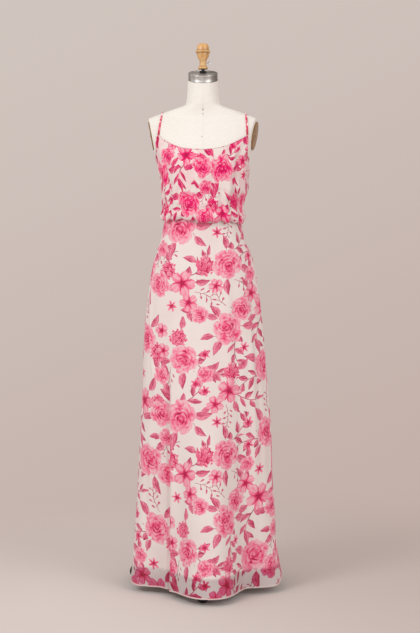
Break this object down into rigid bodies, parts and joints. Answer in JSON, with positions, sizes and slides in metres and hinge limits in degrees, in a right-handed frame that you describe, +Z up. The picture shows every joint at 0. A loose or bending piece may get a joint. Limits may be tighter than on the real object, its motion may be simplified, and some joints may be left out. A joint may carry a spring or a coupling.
{
  "type": "chiffon dress on a dress form",
  "caption": "Sleeveless floor-length dress of printed chiffon with a blouson bodice, worn by a limbless dress form on a column stand with casters.",
  "frame": {"origin": "on the floor, at the middle of the part's box seen from above", "axes": "+Z up, the dress's front faces -Y, the viewer's right is +X"},
  "size_m": [0.5034, 0.5576, 1.7867],
  "materials": {
    "chiffon": "sheer printed chiffon",
    "lining": "smooth matt lining cloth",
    "strap_cloth": "rolled printed chiffon",
    "linen": "plain woven linen cover",
    "steel": "brushed",
    "turned_wood": "satin varnish",
    "brown_plate": "brown lacquer",
    "black_metal": "satin black paint",
    "black_rubber": "matt"
  },
  "bodies": {
    "stand": {"hub": "black_metal", "leg_front": "black_metal", "leg_right": "black_metal", "leg_left": "black_metal", "column_tube": "steel", "clamp_collar": "black_metal", "clamp_knob": "black_metal"},
    "form": {"form_body": "linen", "arm_plate_left": "brown_plate", "arm_plate_right": "brown_plate", "neck_cap": "steel", "neck_nut": "black_metal", "finial": "turned_wood", "wing_screw": "steel", "form_flange": "black_metal", "column_pole": "steel", "skirt_front": "chiffon", "skirt_back": "chiffon", "lining_front": "lining", "lining_back": "lining", "bodice_front": "chiffon", "bodice_back": "chiffon", "strap_left": "strap_cloth", "strap_right": "strap_cloth", "armhole_binding_left": "strap_cloth", "armhole_binding_right": "strap_cloth"},
    "fork_front": {"fork_front": "black_metal"},
    "wheel_front": {"wheel_front": "black_rubber"},
    "fork_right": {"fork_right": "black_metal"},
    "wheel_right": {"wheel_right": "black_rubber"},
    "fork_left": {"fork_left": "black_metal"},
    "wheel_left": {"wheel_left": "black_rubber"}
  },
  "joints": [
    {"name": "height", "type": "slide", "parent": "stand", "child": "form", "axis": [0, 0, 1], "range_m": [0, 0.12]},
    {"name": "swivel_front", "type": "hinge", "parent": "stand", "child": "fork_front", "pos_m": [0.00771, -0.22664, 0.05], "axis": [0, 0, 1], "continuous": true},
    {"name": "roll_front", "type": "hinge", "parent": "fork_front", "child": "wheel_front", "pos_m": [-0.00129, -0.22664, 0.022], "axis": [0, 1, 0], "continuous": true},
    {"name": "swivel_right", "type": "hinge", "parent": "stand", "child": "fork_right", "pos_m": [0.20764, 0.15256, 0.05], "axis": [0, 0, 1], "continuous": true},
    {"name": "roll_right", "type": "hinge", "parent": "fork_right", "child": "wheel_right", "pos_m": [0.21665, 0.15256, 0.022], "axis": [0, 1, 0], "continuous": true},
    {"name": "swivel_left", "type": "hinge", "parent": "stand", "child": "fork_left", "pos_m": [-0.22072, 0.13611, 0.05], "axis": [0, 0, 1], "continuous": true},
    {"name": "roll_left", "type": "hinge", "parent": "fork_left", "child": "wheel_left", "pos_m": [-0.22972, 0.13611, 0.022], "axis": [0, 1, 0], "continuous": true}
  ]
}
